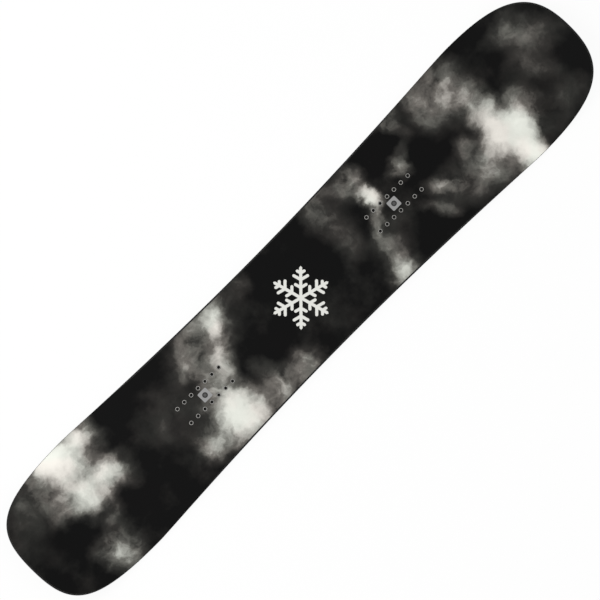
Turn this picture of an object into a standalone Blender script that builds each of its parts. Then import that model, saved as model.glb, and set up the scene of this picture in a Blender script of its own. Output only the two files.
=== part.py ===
"""Bare snowboard deck, 1.56 m long, modelled as the pressed stack of layers that it is built from.

The board stands on its base: +X runs to the nose, +Y to the heel side and +Z up through the deck.
Each layer is drawn on the flat blank, where a place along the board is its distance s from the
middle, and is then pressed onto one mould, which gives it camber, contact zones and raised tips.
All layers are creased at the same stations, so they stay parallel from the base to the topsheet.
"""
import math
from bisect import bisect_right

import bmesh
import bpy
from mathutils import Matrix, Vector
from mathutils.geometry import interpolate_bezier

# Outline, in metres: lengths along the board, full widths across it; the tail is narrower by the taper
BOARD_LENGTH = 1.560
WAIST_WIDTH = 0.2535
NOSE_WIDTH = 0.2914
TAPER = 0.0040
WAIST_SETBACK = 0.017
NOSE_LENGTH = 0.2105
TAIL_LENGTH = 0.2250

# Handle lengths of the outline's curves: how full the tips, shoulders and waist are
NOSE_TIP_HANDLE = 0.0894
NOSE_OUTER_HANDLE = 0.1840
NOSE_INNER_HANDLE = 0.0493
NOSE_WAIST_HANDLE = 0.2987
TAIL_TIP_HANDLE = 0.1049
TAIL_OUTER_HANDLE = 0.2007
TAIL_INNER_HANDLE = 0.0297
TAIL_WAIST_HANDLE = 0.2779

# Side profile of the mould: camber between the contact strips, then a round kick and a straight end
CAMBER_HEIGHT = 0.0060
CONTACT_LENGTH = 0.025
KICK_REACH = 0.205
KICK_ANGLE = math.radians(20)
KICK_STRAIGHT = 0.065

# Layers, bottom to top, and the bond line between any two of them
BOND_GAP = 0.0003
BASE_THICKNESS = 0.0012
LAMINATE_THICKNESS = 0.0006
DAMPING_THICKNESS = 0.0003
CORE_THICKNESS = 0.0060
TIP_CORE_THICKNESS = 0.0018
TOPSHEET_THICKNESS = 0.0005
TAPER_START = 0.360
SPACER_LENGTH = 0.127

# Steel edge: a square rail with a thin anchor flange, slotted into teeth that lock into the laminate
EDGE_WIDTH = 0.0020
FLANGE_REACH = 0.0050
FLANGE_THICKNESS = 0.0006
TOOTH_PITCH = 0.040
TOOTH_SLOT_LENGTH = 0.014
TOOTH_ROOT = 0.0015
EDGE_JOINT_GAP = 0.0003

# Sidewall: set back a little from the steel and bevelled inwards to the topsheet
SIDEWALL_SETBACK = 0.0003
SIDEWALL_WIDTH = 0.0120
SIDEWALL_BEVEL = 0.0020

# Wood core: strips glued side by side, the middle one centred on the board
CORE_STRIPS = 11
STRIP_PITCH = 0.022

# Binding inserts: two packs, each with two rows on the common 40 by 20 mm grid
STANCE_WIDTH = 0.550
STANCE_SETBACK = 0.004
INSERTS_PER_ROW = 7
INSERT_PITCH = 0.020
INSERT_ROW_SPACING = 0.040
PACK_MARGIN = 0.014

# One insert: a flanged nut with a blind bore, at the core hole size of an M6 thread
INSERT_FLANGE_RADIUS = 0.0075
INSERT_FLANGE_THICKNESS = 0.0010
INSERT_BARREL_RADIUS = 0.0045
INSERT_BORE_RADIUS = 0.0025
INSERT_FLOOR = 0.0012
INSERT_RECESS = 0.0002
INSERT_CLEARANCE = 0.0003

# Reinforcing mat let into the underside of the core below each pack
MAT_LENGTH = 0.138
MAT_WIDTH = 0.062
MAT_THICKNESS = 0.0005

# Facet counts and merge distances
TIP_STEPS = 14
SIDE_STEPS = 6
KICK_STEPS = 5
MIDDLE_STEPS = 3
OUTER_STEPS = 3
INSERT_SIDES = 8
MERGE_DISTANCE = 0.000001
CUT_OVERRUN = 0.001
SMOOTH_ANGLE = math.radians(30)
FLAT_ANGLE = math.radians(0.02)

# Places that follow from the sizes above
TAIL_WIDTH = NOSE_WIDTH - TAPER
KICK_RADIUS = (KICK_REACH - KICK_STRAIGHT * math.cos(KICK_ANGLE)) / math.sin(KICK_ANGLE)
KICK_START = BOARD_LENGTH / 2 - KICK_REACH
KICK_ARC = KICK_RADIUS * KICK_ANGLE
CONTACT_START = KICK_START - CONTACT_LENGTH
BLANK_HALF = KICK_START + KICK_ARC + KICK_STRAIGHT
SPACER_START = BLANK_HALF - SPACER_LENGTH
FRONT_PACK = STANCE_WIDTH / 2 - STANCE_SETBACK
REAR_PACK = -STANCE_WIDTH / 2 - STANCE_SETBACK
PACK_HALF = (INSERTS_PER_ROW - 1) * INSERT_PITCH / 2 + PACK_MARGIN

# Heights above the base that are the same along the whole board
LAMINATE_BOTTOM = BASE_THICKNESS + BOND_GAP
LAMINATE_TOP = LAMINATE_BOTTOM + LAMINATE_THICKNESS
FLANGE_TOP = LAMINATE_BOTTOM + FLANGE_THICKNESS
CORE_BOTTOM = max(LAMINATE_TOP, FLANGE_TOP) + BOND_GAP
DAMPING_TOP = CORE_BOTTOM + DAMPING_THICKNESS
SIDEWALL_BOTTOM = DAMPING_TOP + BOND_GAP

# Insets of the layers from the outline
BASE_INSET = EDGE_WIDTH + BOND_GAP
FLANGE_INSET = EDGE_WIDTH + FLANGE_REACH
LAMINATE_INSET = FLANGE_INSET + BOND_GAP
CORE_INSET = SIDEWALL_WIDTH + BOND_GAP
TOP_INSET = SIDEWALL_SETBACK + SIDEWALL_BEVEL


def spread(start, end, steps):
    """Even places from start up to, and without, end."""
    return [start + (end - start) * i / steps for i in range(steps)]


def mould_stations():
    """Places along the blank where every layer is creased; each insert pack lies on one flat facet."""
    packs = (REAR_PACK - PACK_HALF, REAR_PACK + PACK_HALF, FRONT_PACK - PACK_HALF, FRONT_PACK + PACK_HALF)
    kick = spread(CONTACT_START, KICK_START, 1) + spread(KICK_START, KICK_START + KICK_ARC, KICK_STEPS)
    kick += [KICK_START + KICK_ARC, BLANK_HALF]
    places = [-place for place in reversed(kick)]
    places += spread(-CONTACT_START, packs[0], OUTER_STEPS)[1:]
    places += [packs[0]] + spread(packs[1], packs[2], MIDDLE_STEPS) + [packs[2]]
    places += spread(packs[3], CONTACT_START, OUTER_STEPS)
    return places + kick


STATIONS = mould_stations()


def mould_base(s):
    """Place (x, z) and slope of the base surface at a distance s along the blank."""
    side = math.copysign(1, s)
    reach = abs(s)
    if reach <= CONTACT_START:
        share = 1 - (s / CONTACT_START) ** 2
        slope = -4 * CAMBER_HEIGHT * s / CONTACT_START ** 2 * share
        return Vector((s, CAMBER_HEIGHT * share ** 2)), math.atan(slope)
    if reach <= KICK_START:
        return Vector((s, 0)), 0.0
    angle = min((reach - KICK_START) / KICK_RADIUS, KICK_ANGLE)
    straight = max(reach - KICK_START - KICK_ARC, 0)
    x = KICK_START + KICK_RADIUS * math.sin(angle) + straight * math.cos(angle)
    z = KICK_RADIUS * (1 - math.cos(angle)) + straight * math.sin(angle)
    return Vector((side * x, z)), side * angle


def mould_point(s, height):
    """Place (x, z) at a height above the base, measured square to it."""
    place, angle = mould_base(s)
    return place + height * Vector((-math.sin(angle), math.cos(angle)))


def pressed(s, height):
    """Place (x, z) on the creased mould, straight between two stations; height is a function of s."""
    upper = min(max(bisect_right(STATIONS, s), 1), len(STATIONS) - 1)
    start, end = STATIONS[upper - 1], STATIONS[upper]
    share = (s - start) / (end - start)
    return mould_point(start, height(start)).lerp(mould_point(end, height(end)), share)


def core_thickness(s):
    """Full under the feet, easing down to the thin tips."""
    share = (abs(s) - TAPER_START) / (SPACER_START - TAPER_START)
    share = min(max(share, 0), 1)
    ease = share * share * (3 - 2 * share)
    return CORE_THICKNESS + (TIP_CORE_THICKNESS - CORE_THICKNESS) * ease


def core_top(s):
    return CORE_BOTTOM + core_thickness(s)


def top_laminate_bottom(s):
    return core_top(s) + BOND_GAP


def top_laminate_top(s):
    return top_laminate_bottom(s) + LAMINATE_THICKNESS


def topsheet_bottom(s):
    return top_laminate_top(s) + BOND_GAP


def topsheet_top(s):
    return topsheet_bottom(s) + TOPSHEET_THICKNESS


def level(height):
    """A height that is the same all along the board, as a function of s."""
    return lambda s: height


def edge_curve():
    """Heel-side edge of the flat blank, from the nose tip round to the tail tip."""
    along = Vector((1, 0, 0))
    across = Vector((0, 1, 0))
    nose_tip = BLANK_HALF * along
    tail_tip = -BLANK_HALF * along
    nose = (BOARD_LENGTH / 2 - NOSE_LENGTH) * along + NOSE_WIDTH / 2 * across
    tail = (TAIL_LENGTH - BOARD_LENGTH / 2) * along + TAIL_WIDTH / 2 * across
    waist = -WAIST_SETBACK * along + WAIST_WIDTH / 2 * across
    spans = (
        (nose_tip, nose_tip + NOSE_TIP_HANDLE * across, nose + NOSE_OUTER_HANDLE * along, nose, TIP_STEPS),
        (nose, nose - NOSE_INNER_HANDLE * along, waist + NOSE_WAIST_HANDLE * along, waist, SIDE_STEPS),
        (waist, waist - TAIL_WAIST_HANDLE * along, tail + TAIL_INNER_HANDLE * along, tail, SIDE_STEPS),
        (tail, tail - TAIL_OUTER_HANDLE * along, tail_tip + TAIL_TIP_HANDLE * across, tail_tip, TIP_STEPS),
    )
    points = []
    for start, leave, arrive, end, steps in spans:
        points += interpolate_bezier(start, leave, arrive, end, steps + 1)[:-1]
    return points + [tail_tip]


def across_board(point, side=-1):
    """The same place on the chosen side: heel for 1, toe for -1."""
    return Vector((point.x, side * point.y, point.z))


def inward_normals(curve):
    """Unit directions into the board, square to the edge, one for each point of the edge curve."""
    looped = [across_board(curve[1])] + curve + [across_board(curve[-2])]
    normals = []
    for before, after in zip(looped, looped[2:]):
        run = (after - before).normalized()
        normals.append(Vector((-run.y, run.x, 0)))
    return normals


def inset_curve(inset):
    """Heel-side edge moved into the board by one distance all along."""
    curve = edge_curve()
    return [point + inset * inward for point, inward in zip(curve, inward_normals(curve))]


def closed_outline(inset):
    """Whole outline of a layer: heel side from nose to tail, then back along the toe side."""
    heel = inset_curve(inset)
    return heel + [across_board(point) for point in reversed(heel[1:-1])]


def all_geometry(bm):
    return bm.verts[:] + bm.edges[:] + bm.faces[:]


def trim(bm, place, outward):
    """Cut a closed solid off at a plane and close the cut."""
    bmesh.ops.bisect_plane(bm, geom=all_geometry(bm), dist=MERGE_DISTANCE, plane_co=place,
                           plane_no=outward, clear_outer=True)
    bmesh.ops.holes_fill(bm, edges=[edge for edge in bm.edges if edge.is_boundary], sides=0)


def press(bm, height):
    """Crease a flat solid at the stations and lay it on the mould; height takes s and the level z."""
    for s in STATIONS[1:-1]:
        bmesh.ops.bisect_plane(bm, geom=all_geometry(bm), dist=MERGE_DISTANCE, plane_co=(s, 0, 0),
                               plane_no=(1, 0, 0))
    for vert in bm.verts:
        s, y, share = vert.co
        x, z = pressed(s, lambda place: height(place, share))
        vert.co = (x, y, z)
    bmesh.ops.recalc_face_normals(bm, faces=bm.faces)


def between(lower, upper):
    """Height function of a slab whose z runs from 0 on its lower face to 1 on its upper face."""
    return lambda s, share: lower(s) + (upper(s) - lower(s)) * share


def flat_slab(outline):
    """Closed slab over an outline, filled as a 2D curve, with z from 0 to 1."""
    curve = bpy.data.curves.new("blank_outline", "CURVE")
    curve.dimensions = "2D"
    curve.fill_mode = "BOTH"
    curve.extrude = 0.5
    spline = curve.splines.new("POLY")
    spline.points.add(len(outline) - 1)
    for knot, point in zip(spline.points, outline):
        knot.co = (point.x, point.y, 0, 1)
    spline.use_cyclic_u = True
    guide = bpy.data.objects.new("blank_outline", curve)
    bpy.context.scene.collection.objects.link(guide)
    bpy.context.view_layer.update()
    mesh = bpy.data.meshes.new_from_object(guide.evaluated_get(bpy.context.evaluated_depsgraph_get()))
    bm = bmesh.new()
    bm.from_mesh(mesh)
    bpy.data.objects.remove(guide)
    bpy.data.curves.remove(curve)
    bpy.data.meshes.remove(mesh)
    bmesh.ops.translate(bm, vec=(0, 0, 0.5), verts=bm.verts)
    bmesh.ops.remove_doubles(bm, verts=bm.verts, dist=MERGE_DISTANCE)
    bmesh.ops.dissolve_limit(bm, angle_limit=FLAT_ANGLE, verts=bm.verts, edges=bm.edges)
    return bm


def loft_loops(bm, loops):
    """Side faces between each two loops of vertices that follow each other."""
    for near, far in zip(loops, loops[1:]):
        for i in range(len(near)):
            j = (i + 1) % len(near)
            bm.faces.new((near[i], near[j], far[j], far[i]))


def bevelled_slab():
    """Slab over the whole board whose rim leans inwards from the steel edge to the topsheet."""
    bm = bmesh.new()
    loops = []
    for inset, share in ((SIDEWALL_SETBACK, 0), (TOP_INSET, 1)):
        loops.append([bm.verts.new((point.x, point.y, share)) for point in closed_outline(inset)])
    loft_loops(bm, loops)
    bm.faces.new(loops[0])
    bm.faces.new(loops[1])
    return bm


def swept_rail(side, profile):
    """Rail along one edge, tip to tip; the profile is a closed list of (inset, z)."""
    bm = bmesh.new()
    curve = edge_curve()
    loops = []
    for point, inward in zip(curve, inward_normals(curve)):
        places = [across_board(point + inset * inward, side) for inset, z in profile]
        loops.append([bm.verts.new((place.x, place.y, z)) for place, (inset, z) in zip(places, profile)])
    loft_loops(bm, loops)
    bm.faces.new(loops[0])
    bm.faces.new(loops[-1])
    return bm


def board_frame(s, y, height):
    """Matrix of a place on the creased mould: its X along the board, its Z square to the facet."""
    start = pressed(s - MERGE_DISTANCE * 100, level(height))
    end = pressed(s + MERGE_DISTANCE * 100, level(height))
    run = (end - start).normalized()
    middle = (start + end) / 2
    turn = Matrix.Rotation(-math.atan2(run.y, run.x), 4, "Y")
    return Matrix.Translation((middle.x, y, middle.y)) @ turn


def make_collection(name):
    collection = bpy.data.collections.new(name)
    bpy.context.scene.collection.children.link(collection)
    return collection


def make_material(name, color, roughness, metallic=0.0):
    material = bpy.data.materials.new(name)
    material.use_nodes = True
    shader = material.node_tree.nodes["Principled BSDF"]
    shader.inputs["Base Color"].default_value = (*color, 1.0)
    shader.inputs["Roughness"].default_value = roughness
    shader.inputs["Metallic"].default_value = metallic
    material.diffuse_color = (*color, 1.0)
    return material


def to_mesh(bm, name):
    mesh = bpy.data.meshes.new(name)
    bm.to_mesh(mesh)
    bm.free()
    mesh.shade_smooth()
    mesh.set_sharp_from_angle(angle=SMOOTH_ANGLE)
    return mesh


def add_piece(collection, name, mesh, material, parent=None):
    """One named sub-part of the board."""
    mesh.materials.clear()
    mesh.materials.append(material)
    piece = bpy.data.objects.new(name, mesh)
    piece.parent = parent
    collection.objects.link(piece)
    return piece


def add_cutter(collection, name, bm, parent=None):
    """A hidden solid that only shapes its neighbours."""
    mesh = bpy.data.meshes.new(name)
    bm.to_mesh(mesh)
    bm.free()
    cutter = bpy.data.objects.new(name, mesh)
    cutter.parent = parent
    cutter.hide_render = True
    cutter.display_type = "WIRE"
    collection.objects.link(cutter)
    return cutter


def cut(piece, cutter):
    modifier = piece.modifiers.new(cutter.name, "BOOLEAN")
    modifier.operation = "DIFFERENCE"
    modifier.object = cutter


def pressed_layer(collection, name, inset, lower, upper, material):
    """A layer that covers the whole outline."""
    bm = flat_slab(closed_outline(inset))
    press(bm, between(lower, upper))
    return add_piece(collection, name, to_mesh(bm, name), material)


def box(bm, matrix, low, high):
    """Box between two corners of a local frame."""
    low, high = Vector(low), Vector(high)
    place = Matrix.Translation((low + high) / 2) @ Matrix.Diagonal((*(high - low), 1))
    bmesh.ops.create_cube(bm, size=1, matrix=matrix @ place)


def curve_length(curve):
    return sum((end - start).length for start, end in zip(curve, curve[1:]))


def along_curve(curve, distance):
    """Place and direction at a distance along a run of points."""
    for start, end in zip(curve, curve[1:]):
        run = end - start
        if distance <= run.length:
            return start + run.normalized() * distance, run.normalized()
        distance -= run.length
    return curve[-1], run.normalized()


def tooth_slots(side):
    """Boxes along the flange of one steel edge; what is left between them are its anchor teeth."""
    bm = bmesh.new()
    curve = inset_curve(EDGE_WIDTH + TOOTH_ROOT)
    length = curve_length(curve)
    count = int(length / TOOTH_PITCH)
    first = (length - (count - 1) * TOOTH_PITCH) / 2
    height = (LAMINATE_BOTTOM + FLANGE_TOP) / 2
    depth = FLANGE_REACH - TOOTH_ROOT + CUT_OVERRUN
    rise = FLANGE_THICKNESS / 2 + CUT_OVERRUN / 2
    for i in range(count):
        place, run = along_curve(curve, first + i * TOOTH_PITCH)
        run = across_board(run, side)
        turn = Matrix.Rotation(math.atan2(run.y, run.x), 4, "Z")
        reach = (0, depth) if side > 0 else (-depth, 0)
        box(bm, board_frame(place.x, side * place.y, height) @ turn,
            (-TOOTH_SLOT_LENGTH / 2, reach[0], -rise), (TOOTH_SLOT_LENGTH / 2, reach[1], rise))
    return bm


def steel_edge(collection, cutters, name, side, material):
    """L-shaped rail: its square body meets the snow, its slotted flange is held in the laminate."""
    bm = swept_rail(side, (
        (0, 0), (EDGE_WIDTH, 0), (EDGE_WIDTH, LAMINATE_BOTTOM), (FLANGE_INSET, LAMINATE_BOTTOM),
        (FLANGE_INSET, FLANGE_TOP), (0, FLANGE_TOP)))
    trim(bm, (0, side * EDGE_JOINT_GAP / 2, 0), (0, -side, 0))
    press(bm, lambda s, z: z)
    piece = add_piece(collection, name, to_mesh(bm, name), material)
    cut(piece, add_cutter(cutters, "cutter_" + name + "_slots", tooth_slots(side)))


def side_strip(collection, name, side, profile, lower, upper, material):
    """Rail that runs along one side between the two tip spacers."""
    bm = swept_rail(side, profile)
    for end in (1, -1):
        trim(bm, (end * (SPACER_START - BOND_GAP / 2), 0, 0), (end, 0, 0))
    press(bm, between(lower, upper))
    add_piece(collection, name, to_mesh(bm, name), material)


def tip_spacer(collection, name, end, material):
    """Plastic filler that carries the core's outline on into one tip."""
    bm = bevelled_slab()
    trim(bm, (end * (SPACER_START + BOND_GAP / 2), 0, 0), (-end, 0, 0))
    press(bm, between(level(CORE_BOTTOM), core_top))
    add_piece(collection, name, to_mesh(bm, name), material)


def core_strip(collection, index, material):
    """One strip of the wood core, counted from the toe side; the outer two follow the sidecut."""
    bm = flat_slab(closed_outline(CORE_INSET))
    middle = (index - (CORE_STRIPS - 1) / 2) * STRIP_PITCH
    reach = (STRIP_PITCH - BOND_GAP) / 2
    if index > 0:
        trim(bm, (0, middle - reach, 0), (0, -1, 0))
    if index < CORE_STRIPS - 1:
        trim(bm, (0, middle + reach, 0), (0, 1, 0))
    for end in (1, -1):
        trim(bm, (end * (SPACER_START - BOND_GAP / 2), 0, 0), (end, 0, 0))
    press(bm, between(level(CORE_BOTTOM), core_top))
    name = f"core_strip_{index + 1:02d}"
    return add_piece(collection, name, to_mesh(bm, name), material), middle


def pack_places():
    """Centres of the inserts of one pack, in its own frame, row by row."""
    first = -(INSERTS_PER_ROW - 1) * INSERT_PITCH / 2
    return [(first + i * INSERT_PITCH, row * INSERT_ROW_SPACING / 2)
            for row in (-1, 1) for i in range(INSERTS_PER_ROW)]


def pack_bores(radius, low, high):
    """Bores on the pack's grid whose flats keep the clearance to a round piece of this radius."""
    corner = (radius + INSERT_CLEARANCE) / math.cos(math.pi / INSERT_SIDES)
    bm = bmesh.new()
    for x, y in pack_places():
        bmesh.ops.create_cone(bm, cap_ends=True, segments=INSERT_SIDES, radius1=corner, radius2=corner,
                              depth=high - low, matrix=Matrix.Translation((x, y, (low + high) / 2)))
    return bm


def insert_mesh(bottom, top):
    """Turned nut: blind bore from the top, straight barrel, round flange below."""
    flange_top = bottom + INSERT_FLANGE_THICKNESS
    profile = (
        (0, bottom + INSERT_FLOOR), (INSERT_BORE_RADIUS, bottom + INSERT_FLOOR), (INSERT_BORE_RADIUS, top),
        (INSERT_BARREL_RADIUS, top), (INSERT_BARREL_RADIUS, flange_top), (INSERT_FLANGE_RADIUS, flange_top),
        (INSERT_FLANGE_RADIUS, bottom), (0, bottom))
    outline = bpy.data.meshes.new("insert_profile")
    edges = [(i, i + 1) for i in range(len(profile) - 1)]
    outline.from_pydata([(radius, 0, z) for radius, z in profile], edges, [])
    guide = bpy.data.objects.new("insert_profile", outline)
    bpy.context.scene.collection.objects.link(guide)
    screw = guide.modifiers.new("turn", "SCREW")
    screw.steps = INSERT_SIDES
    screw.render_steps = INSERT_SIDES
    screw.use_merge_vertices = True
    screw.merge_threshold = MERGE_DISTANCE
    bpy.context.view_layer.update()
    mesh = bpy.data.meshes.new_from_object(guide.evaluated_get(bpy.context.evaluated_depsgraph_get()))
    bpy.data.objects.remove(guide)
    bpy.data.meshes.remove(outline)
    mesh.name = "insert"
    mesh.shade_smooth()
    mesh.set_sharp_from_angle(angle=SMOOTH_ANGLE)
    return mesh


def insert_pack(collection, cutters, name, s, layers, steel, mat_material):
    """One pack: mat, nuts and the recess and bores that they need in the layers around them."""
    frame = bpy.data.objects.new(name + "_pack", None)
    frame.matrix_world = board_frame(s, 0, 0)
    collection.objects.link(frame)
    mat_top = CORE_BOTTOM + MAT_THICKNESS
    nut_bottom = mat_top + BOND_GAP
    nut_top = topsheet_top(s) - INSERT_RECESS
    through = topsheet_top(s) + CUT_OVERRUN
    counterbore = nut_bottom + INSERT_FLANGE_THICKNESS + INSERT_CLEARANCE

    mat = bmesh.new()
    box(mat, Matrix(), (-MAT_LENGTH / 2, -MAT_WIDTH / 2, CORE_BOTTOM), (MAT_LENGTH / 2, MAT_WIDTH / 2, mat_top))
    add_piece(collection, "insert_mat_" + name, to_mesh(mat, "insert_mat_" + name), mat_material, frame)

    reach = MAT_LENGTH / 2 + INSERT_CLEARANCE
    half = MAT_WIDTH / 2 + INSERT_CLEARANCE
    recess = bmesh.new()
    box(recess, Matrix(), (-reach, -half, CORE_BOTTOM - CUT_OVERRUN), (reach, half, nut_bottom))
    recess = add_cutter(cutters, "cutter_mat_" + name, recess, frame)
    flanges = pack_bores(INSERT_FLANGE_RADIUS, CORE_BOTTOM, counterbore)
    flanges = add_cutter(cutters, "cutter_flanges_" + name, flanges, frame)
    barrels = pack_bores(INSERT_BARREL_RADIUS, CORE_BOTTOM, through)
    barrels = add_cutter(cutters, "cutter_barrels_" + name, barrels, frame)

    for piece, middle in layers["strips"]:
        if abs(middle) - STRIP_PITCH / 2 < half:
            cut(piece, recess)
        row = INSERT_ROW_SPACING / 2
        if abs(abs(middle) - row) < STRIP_PITCH / 2 + INSERT_FLANGE_RADIUS + INSERT_CLEARANCE:
            cut(piece, flanges)
            cut(piece, barrels)
    cut(layers["top_laminate"], barrels)
    cut(layers["topsheet"], barrels)

    nut = insert_mesh(nut_bottom, nut_top)
    for number, (x, y) in enumerate(pack_places(), start=1):
        piece = add_piece(collection, f"insert_{name}_{number:02d}", nut, steel, frame)
        piece.location = (x, y, 0)


def clear_scene():
    for item in list(bpy.data.objects):
        bpy.data.objects.remove(item)


def build_board():
    clear_scene()
    board = make_collection("snowboard")
    cutters = make_collection("cutters")

    base_black = make_material("sintered_base", (0.025, 0.025, 0.027), 0.45)
    edge_steel = make_material("edge_steel", (0.62, 0.62, 0.64), 0.30, 1.0)
    insert_steel = make_material("insert_steel", (0.70, 0.69, 0.67), 0.28, 1.0)
    rubber = make_material("damping_rubber", (0.02, 0.02, 0.02), 0.85)
    glass_laminate = make_material("glass_laminate", (0.62, 0.66, 0.50), 0.40)
    pale_wood = make_material("poplar", (0.72, 0.56, 0.36), 0.60)
    dark_wood = make_material("beech", (0.52, 0.33, 0.19), 0.60)
    sidewall_black = make_material("sidewall_plastic", (0.018, 0.018, 0.020), 0.50)
    mat_fabric = make_material("insert_mat", (0.80, 0.78, 0.70), 0.70)
    print_black = make_material("printed_topsheet", (0.030, 0.030, 0.030), 0.40)

    pressed_layer(board, "base_sheet", BASE_INSET, level(0), level(BASE_THICKNESS), base_black)
    pressed_layer(board, "lower_laminate", LAMINATE_INSET, level(LAMINATE_BOTTOM), level(LAMINATE_TOP),
                  glass_laminate)

    for name, side in (("heel_side", 1), ("toe_side", -1)):
        steel_edge(board, cutters, "steel_edge_" + name, side, edge_steel)
        flat = ((SIDEWALL_SETBACK, 0), (SIDEWALL_WIDTH, 0), (SIDEWALL_WIDTH, 1), (SIDEWALL_SETBACK, 1))
        side_strip(board, "edge_damping_" + name, side, flat, level(CORE_BOTTOM), level(DAMPING_TOP), rubber)
        bevelled = ((SIDEWALL_SETBACK, 0), (SIDEWALL_WIDTH, 0), (SIDEWALL_WIDTH, 1), (TOP_INSET, 1))
        side_strip(board, "sidewall_" + name, side, bevelled, level(SIDEWALL_BOTTOM), core_top, sidewall_black)

    tip_spacer(board, "nose_spacer", 1, sidewall_black)
    tip_spacer(board, "tail_spacer", -1, sidewall_black)

    layers = {"strips": [core_strip(board, index, dark_wood if index % 2 else pale_wood)
                         for index in range(CORE_STRIPS)]}
    layers["top_laminate"] = pressed_layer(board, "upper_laminate", TOP_INSET, top_laminate_bottom,
                                           top_laminate_top, glass_laminate)
    layers["topsheet"] = pressed_layer(board, "topsheet", TOP_INSET, topsheet_bottom, topsheet_top,
                                       print_black)

    insert_pack(board, cutters, "front", FRONT_PACK, layers, insert_steel, mat_fabric)
    insert_pack(board, cutters, "rear", REAR_PACK, layers, insert_steel, mat_fabric)


build_board()
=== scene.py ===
import math
from bisect import bisect_right
from functools import partial

import bmesh
import bpy
from bpy.props import FloatProperty, FloatVectorProperty, IntProperty, PointerProperty
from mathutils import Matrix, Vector


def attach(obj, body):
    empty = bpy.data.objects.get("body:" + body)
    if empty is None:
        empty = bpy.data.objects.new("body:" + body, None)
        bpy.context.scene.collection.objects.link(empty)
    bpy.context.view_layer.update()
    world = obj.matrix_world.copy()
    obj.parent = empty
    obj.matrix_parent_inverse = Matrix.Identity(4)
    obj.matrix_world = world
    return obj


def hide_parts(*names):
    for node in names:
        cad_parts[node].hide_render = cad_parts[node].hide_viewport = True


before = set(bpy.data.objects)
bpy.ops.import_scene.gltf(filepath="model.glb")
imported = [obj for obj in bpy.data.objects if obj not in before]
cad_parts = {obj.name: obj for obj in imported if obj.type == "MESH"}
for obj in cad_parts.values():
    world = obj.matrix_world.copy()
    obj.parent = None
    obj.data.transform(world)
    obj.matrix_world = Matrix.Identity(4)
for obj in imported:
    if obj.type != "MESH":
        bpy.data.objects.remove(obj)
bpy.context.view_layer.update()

bl_info = {
    "name": "Snowboard deck",
    "version": (1, 0, 0),
    "blender": (4, 5, 0),
    "location": "View3D > Sidebar > Snowboard",
    "description": "Builds the layers, inserts, print and studio of a bare snowboard deck",
    "category": "Object",
}

# Outline of the flat blank, as in the part's source, in metres
BOARD_LENGTH = 1.560
WAIST_WIDTH = 0.2535
NOSE_WIDTH = 0.2914
TAIL_WIDTH = 0.2874
WAIST_SETBACK = 0.017
NOSE_LENGTH = 0.2105
TAIL_LENGTH = 0.2250
NOSE_HANDLES = (0.0894, 0.1840, 0.0493, 0.2987)
TAIL_HANDLES = (0.1049, 0.2007, 0.0297, 0.2779)

# Side profile of the press mould
CAMBER_HEIGHT = 0.0060
CONTACT_START = 0.550
KICK_START = 0.575
KICK_ANGLE = math.radians(20)
KICK_STRAIGHT = 0.065
KICK_REACH = BOARD_LENGTH / 2 - KICK_START
KICK_RADIUS = (KICK_REACH - KICK_STRAIGHT * math.cos(KICK_ANGLE)) / math.sin(KICK_ANGLE)
KICK_ARC = KICK_RADIUS * KICK_ANGLE
BLANK_HALF = KICK_START + KICK_ARC + KICK_STRAIGHT

# Core: its thickness under the feet and at the tips, and where it eases from one to the other
CORE_BOTTOM = 0.0024
RAIL_BOTTOM = 0.0030
FULL_CORE_TOP = 0.0084
CORE_THICKNESS = 0.0060
TIP_CORE_THICKNESS = 0.0018
TAPER_START = 0.360
SPACER_START = BLANK_HALF - 0.127

# Heights over the base where the core is full: bottom, foot of the bevel where there is one, and top
BASE_SHEET = (0.0, 0.00125)
EDGE_FLANGE = (0.0015, 0.0021)
DAMPING = (0.00214, 0.00285)
SIDEWALL = (0.00288, 0.0044, 0.00868)
TIP_SPACER = (0.00214, 0.0044, 0.00868)
UPPER_LAMINATE = (0.00870, 0.00955)
TOPSHEET = (0.00957, 0.0101)

# Stretches of the blank along which the sidewall's bevel narrows and grows again
BEVEL_NARROWS = (0.345, 0.435)
BEVEL_GROWS = (0.660, 0.760)

# Flange of the steel edge: its width, and the teeth cut into it beyond the root
FLANGE_REACH = 0.0050
TOOTH_ROOT = 0.0015
TOOTH_PITCH = 0.020
TOOTH_SLOT = 0.009

# Fits and broken edges: a butt joint's half gap, base sheet to steel edge, the laminate's rim that
# stands out under the topsheet, and the chamfers of topsheet and steel
JOINT_HALF = 0.00015
BASE_FIT = 0.00004
LAMINATE_RIM = 0.0002
TOPSHEET_CHAMFER = 0.00015
STEEL_CHAMFER = 0.00008
SQUARE_ANGLE = math.radians(60)
SMOOTH_ANGLE = math.radians(30)

# Binding inserts: two packs of two rows of seven, half the length of the flat facet under a pack,
# and the drill that opens the layers over them
PACK_PLACES = {"front": 0.271, "rear": -0.279}
INSERTS_PER_ROW = 7
INSERT_PITCH = 0.020
INSERT_ROW_SPACING = 0.040
PACK_HALF = 0.074
DRILL_LENGTH, DRILL_LEVEL = 0.020, 0.009

# Places where the flat layers are cut before they are bent, and the step of the mould's guide curve
CAMBER_CUTS = (0.4843, 0.4187, 0.353)
NOSE_SIDE_CUTS = (0.4133, 0.4817)
MIDDLE_CUTS = (-0.071, 0.063)
KICK_CUTS = 26
GUIDE_STEP = 0.004

# A distance that counts as none, and the corners that only a whole layer's face exceeds
CLEAR = 0.00001
FACE_CORNERS = 100

SIDES = {"heel": 1, "toe": -1}
TIPS = {"nose": 1, "tail": -1}


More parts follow.
